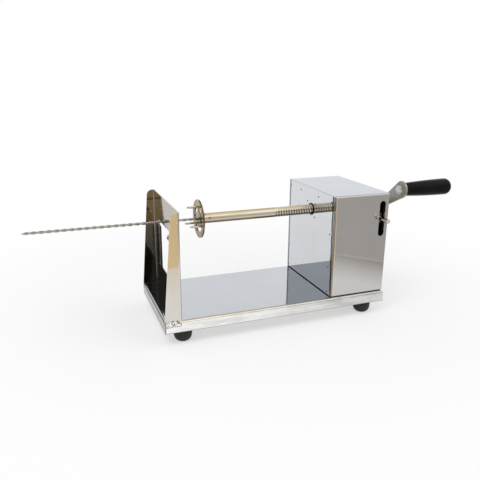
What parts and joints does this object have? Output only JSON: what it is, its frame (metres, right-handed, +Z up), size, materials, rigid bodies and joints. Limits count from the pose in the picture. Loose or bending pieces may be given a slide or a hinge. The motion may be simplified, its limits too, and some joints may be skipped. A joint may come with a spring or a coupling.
{
  "type": "tornado potato cutter",
  "caption": "Hand-cranked cutter that turns a whole potato on a needle past a fixed blade and feeds it with a lead screw, so it comes off as one spiral.",
  "frame": {"origin": "on the table, under the middle of the whole machine", "axes": "+X along the shaft from the needle's tip to the crank, +Y from the front, where the clutch lever is, to the back, +Z up"},
  "size_m": [0.597, 0.157, 0.1848],
  "materials": {
    "polished_stainless": "bright annealed sheet, nearly a mirror",
    "plate_steel": "satin",
    "blade_steel": "ground",
    "shaft_steel": "polished",
    "fastener_steel": "satin",
    "foot_rubber": "matt",
    "grip_plastic": "slightly glossy"
  },
  "bodies": {
    "machine": {"base_tray": "polished_stainless", "feet": "foot_rubber", "blade_stand": "polished_stainless", "stand_welds": "polished_stainless", "blade": "blade_steel", "blade_spacer": "plate_steel", "blade_screws": "fastener_steel", "blade_nuts": "fastener_steel", "housing_cover": "polished_stainless", "front_pan": "polished_stainless", "rear_pan": "polished_stainless", "front_backing": "plate_steel", "rear_backing": "plate_steel", "pivot_bolt": "fastener_steel", "pivot_nut": "fastener_steel"},
    "sleeves": {"shaft_sleeves": "shaft_steel"},
    "spindle": {"lead_screw": "shaft_steel", "fork_disc": "shaft_steel", "fork_prongs": "shaft_steel", "needle": "shaft_steel", "crank_hub": "plate_steel", "crank_arm": "plate_steel", "grip_bolt": "fastener_steel", "grip_nut": "fastener_steel"},
    "grip": {"grip": "grip_plastic"},
    "lever": {"clutch_lever": "plate_steel", "half_nut": "plate_steel", "lever_pin": "shaft_steel", "lever_tip": "shaft_steel"}
  },
  "joints": [
    {"name": "screw_turn", "type": "hinge", "parent": "machine", "child": "sleeves", "pos_m": [0.09402, 0.006, 0.144], "axis": [1, 0, 0], "range_deg": [-1800, 10080]},
    {"name": "screw_feed", "type": "slide", "parent": "sleeves", "child": "spindle", "axis": [1, 0, 0], "range_m": [-0.0201, 0.1121]},
    {"name": "grip_spin", "type": "hinge", "parent": "spindle", "child": "grip", "pos_m": [0.21852, -0.03628, 0.17252], "axis": [1, 0, 0], "continuous": true},
    {"name": "clutch_lift", "type": "hinge", "parent": "machine", "child": "lever", "pos_m": [0.15873, 0.056, 0.154], "axis": [-1, 0, 0], "range_deg": [0, 10]}
  ],
  "couplings": [
    {"joint": "screw_feed", "follows": "screw_turn", "m_per_rad": 0.00063662}
  ]
}
